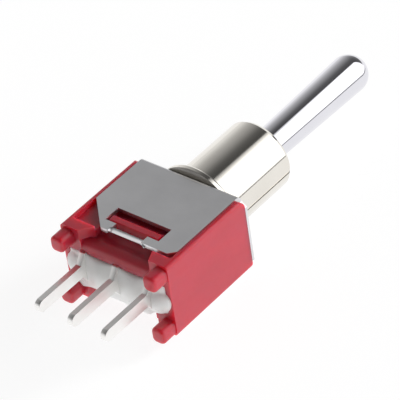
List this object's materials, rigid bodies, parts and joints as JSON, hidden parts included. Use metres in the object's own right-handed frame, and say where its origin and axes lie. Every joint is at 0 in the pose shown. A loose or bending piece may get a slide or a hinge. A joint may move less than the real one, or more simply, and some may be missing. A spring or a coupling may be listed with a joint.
{
  "type": "toggle switch",
  "caption": "Subminiature centre-off toggle switch: flat red case in a clip-on steel bracket, plain keyed bushing, chrome bat lever and a row of blade terminals.",
  "frame": {"origin": "on the lever axis, at the flange face that seats against a panel", "axes": "+Y along the lever axis, from the terminals to the lever's tip; X along the row of terminals, with the keyway on +X; +Z out of one latch window, so the switch lies as it does in the picture"},
  "size_m": [0.0082, 0.0287, 0.006],
  "materials": {
    "red_plastic": "moulded, satin",
    "sheet_steel": "rolled and stamped, satin",
    "nickel_plate": "turned brass, bright nickel plate",
    "chrome_plate": "turned, bright chrome plate",
    "pin_steel": "ground",
    "nylon": "moulded, natural",
    "spring_steel": "drawn wire",
    "silvered_copper": "stamped, silver plate, slightly dulled",
    "contact_silver": "silver rivet",
    "white_resin": "cast epoxy, soft gloss"
  },
  "bodies": {
    "housing": {"case": "red_plastic", "bracket": "sheet_steel", "bushing": "nickel_plate", "left_terminal": "silvered_copper", "common_terminal": "silvered_copper", "right_terminal": "silvered_copper", "left_contact": "contact_silver", "right_contact": "contact_silver", "potting": "white_resin"},
    "lever": {"lever": "chrome_plate", "pivot_pin": "pin_steel", "plunger_spring": "spring_steel"},
    "plunger": {"plunger": "nylon"},
    "rocker": {"rocker": "silvered_copper"}
  },
  "joints": [
    {"name": "lever_tilt", "type": "hinge", "parent": "housing", "child": "lever", "pos_m": [0, 0.0024, 0], "axis": [0, 0, 1], "range_deg": [-12, 12]},
    {"name": "rocker_tilt", "type": "hinge", "parent": "housing", "child": "rocker", "pos_m": [0, -0.00487, 0], "axis": [0, 0, 1], "range_deg": [-7.3, 7.3]},
    {"name": "plunger_slide", "type": "slide", "parent": "lever", "child": "plunger", "axis": [0, 1, 0], "range_m": [0, 0.0004], "stiffness_N_per_m": 400, "springref_m": -0.0005, "deforming": ["plunger_spring"]}
  ],
  "couplings": [
    {"joint": "rocker_tilt", "follows": "lever_tilt", "ratio": -0.6}
  ]
}
